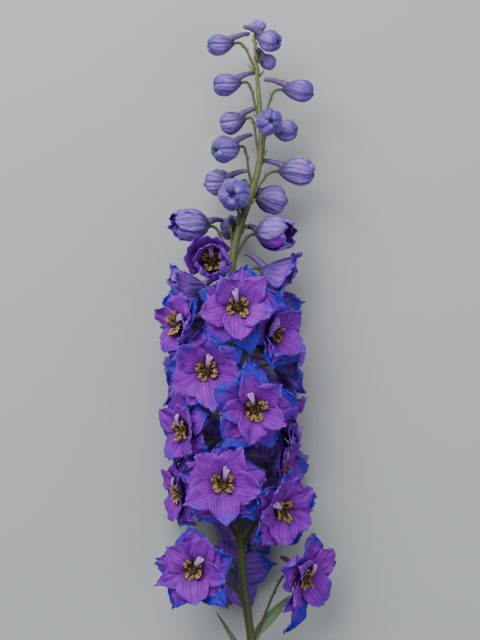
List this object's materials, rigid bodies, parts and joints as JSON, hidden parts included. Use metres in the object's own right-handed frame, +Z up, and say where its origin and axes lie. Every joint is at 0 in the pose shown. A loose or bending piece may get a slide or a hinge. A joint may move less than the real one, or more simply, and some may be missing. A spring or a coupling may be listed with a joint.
{
  "type": "delphinium flower spike",
  "caption": "Tall cut flower spike lying down, with frilled violet and blue spurred blooms crowded round a green stem, dark bees in their throats, and closed buds towards the tip",
  "frame": {"origin": "Middle of the underside of its bounding box, on the surface it lies on", "axes": "+Y along the stem from its cut end to the tip of the spike, +X to the right across it when its tip points away, +Z up from the surface"},
  "size_m": [0.108, 0.402, 0.0722],
  "materials": {
    "stem_green": "matte green plant skin with fine hairs",
    "bud_blue": "soft lavender blue bud skin",
    "petal_violet": "satin violet petals with a blue back",
    "bee_brown": "dark brown with golden hairs"
  },
  "bodies": {
    "root": {"stem": "stem_green", "bud_tip": "bud_blue", "bud_01": "bud_blue", "bud_02": "bud_blue", "bud_03": "bud_blue", "bud_04": "bud_blue", "bud_05": "bud_blue", "bud_06": "bud_blue", "bud_07": "bud_blue", "bud_08": "bud_blue", "bud_09": "bud_blue", "bud_10": "bud_blue", "bud_11": "bud_blue", "bud_12": "bud_blue", "bud_13": "bud_blue", "bud_14": "bud_blue", "bud_15": "bud_blue", "bud_16": "bud_blue", "bloom_01": "petal_violet", "bloom_02": "petal_violet", "bloom_03": "petal_violet", "bloom_04": "petal_violet", "bloom_05": "petal_violet", "bloom_06": "petal_violet", "bloom_07": "petal_violet", "bloom_08": "petal_violet", "bloom_09": "petal_violet", "bloom_10": "petal_violet", "bloom_11": "petal_violet", "bloom_12": "petal_violet", "bloom_13": "petal_violet", "bloom_14": "petal_violet", "bloom_15": "petal_violet", "bloom_16": "petal_violet", "bloom_17": "petal_violet", "bloom_18": "petal_violet", "bloom_19": "petal_violet", "bloom_20": "petal_violet", "bloom_21": "petal_violet", "bloom_22": "petal_violet", "bloom_23": "petal_violet", "bloom_24": "petal_violet", "bloom_25": "petal_violet", "bee_01": "bee_brown", "bee_02": "bee_brown", "bee_03": "bee_brown", "bee_04": "bee_brown", "bee_05": "bee_brown", "bee_06": "bee_brown", "bee_07": "bee_brown", "bee_08": "bee_brown", "bee_09": "bee_brown", "bee_10": "bee_brown", "bee_11": "bee_brown", "bee_12": "bee_brown", "bee_13": "bee_brown", "bee_14": "bee_brown", "bee_15": "bee_brown", "bee_16": "bee_brown", "bee_17": "bee_brown"}
  },
  "joints": []
}
